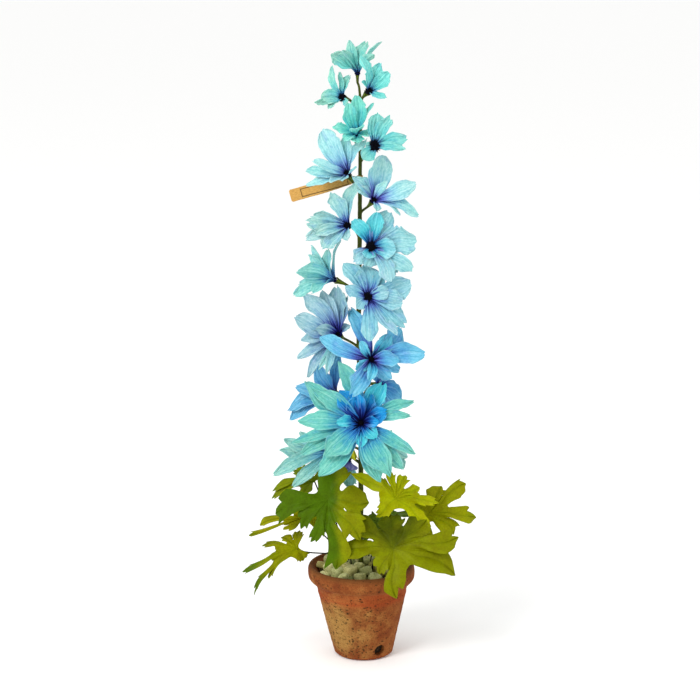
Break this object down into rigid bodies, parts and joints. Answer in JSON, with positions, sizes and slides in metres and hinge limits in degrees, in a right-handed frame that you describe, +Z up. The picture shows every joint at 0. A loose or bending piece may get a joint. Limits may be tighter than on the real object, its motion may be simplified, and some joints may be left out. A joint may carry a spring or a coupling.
{
  "type": "potted delphinium",
  "caption": "Potted delphinium: a tall flower spike of cupped blue and aqua blooms over lobed leaves, in a terracotta pot topped with pebbles.",
  "frame": {"origin": "centre of the pot's flat base, on its underside", "axes": "+Z up along the stem; the front of the plant, which its large blooms face, looks along -Y; +X is to the right seen from the front"},
  "size_m": [0.2371, 0.1278, 0.6259],
  "materials": {
    "petal_aqua": "crinkled matte paper",
    "petal_pale": "crinkled matte paper",
    "petal_blue": "crinkled matte paper",
    "petal_teal": "crinkled matte paper",
    "centre": "dark fuzzy tuft",
    "leaf": "veined, half matte",
    "stem": "matte wrapped stem",
    "terracotta": "unglazed, hand-thrown terracotta",
    "potting_mix": "crumbly",
    "pebble": "smooth stone",
    "kraft_card": "plain uncoated card"
  },
  "bodies": {
    "root": {"bloom_01_petals": "petal_aqua", "bloom_01_centre": "centre", "bloom_02_petals": "petal_aqua", "bloom_02_centre": "centre", "bloom_03_petals": "petal_aqua", "bloom_03_centre": "centre", "bloom_04_petals": "petal_aqua", "bloom_04_centre": "centre", "bloom_05_petals": "petal_aqua", "bloom_05_centre": "centre", "bloom_06_petals": "petal_pale", "bloom_06_centre": "centre", "bloom_07_petals": "petal_pale", "bloom_07_centre": "centre", "bloom_08_petals": "petal_pale", "bloom_08_centre": "centre", "bloom_09_petals": "petal_pale", "bloom_09_centre": "centre", "bloom_10_petals": "petal_pale", "bloom_10_centre": "centre", "bloom_11_petals": "petal_pale", "bloom_11_centre": "centre", "bloom_12_petals": "petal_pale", "bloom_12_centre": "centre", "bloom_13_petals": "petal_blue", "bloom_13_centre": "centre", "bloom_14_petals": "petal_teal", "bloom_14_centre": "centre", "bloom_15_petals": "petal_blue", "bloom_15_centre": "centre", "bloom_16_petals": "petal_blue", "bloom_16_centre": "centre", "bloom_17_petals": "petal_teal", "bloom_17_centre": "centre", "bloom_18_petals": "petal_teal", "bloom_18_centre": "centre", "bloom_19_petals": "petal_teal", "bloom_19_centre": "centre", "stem": "stem", "leaf_01": "leaf", "leaf_02": "leaf", "leaf_03": "leaf", "leaf_04": "leaf", "leaf_05": "leaf", "leaf_06": "leaf", "leaf_07": "leaf", "leaf_08": "leaf", "pot": "terracotta", "filling": "potting_mix", "pebbles": "pebble", "tag": "kraft_card"}
  },
  "joints": []
}
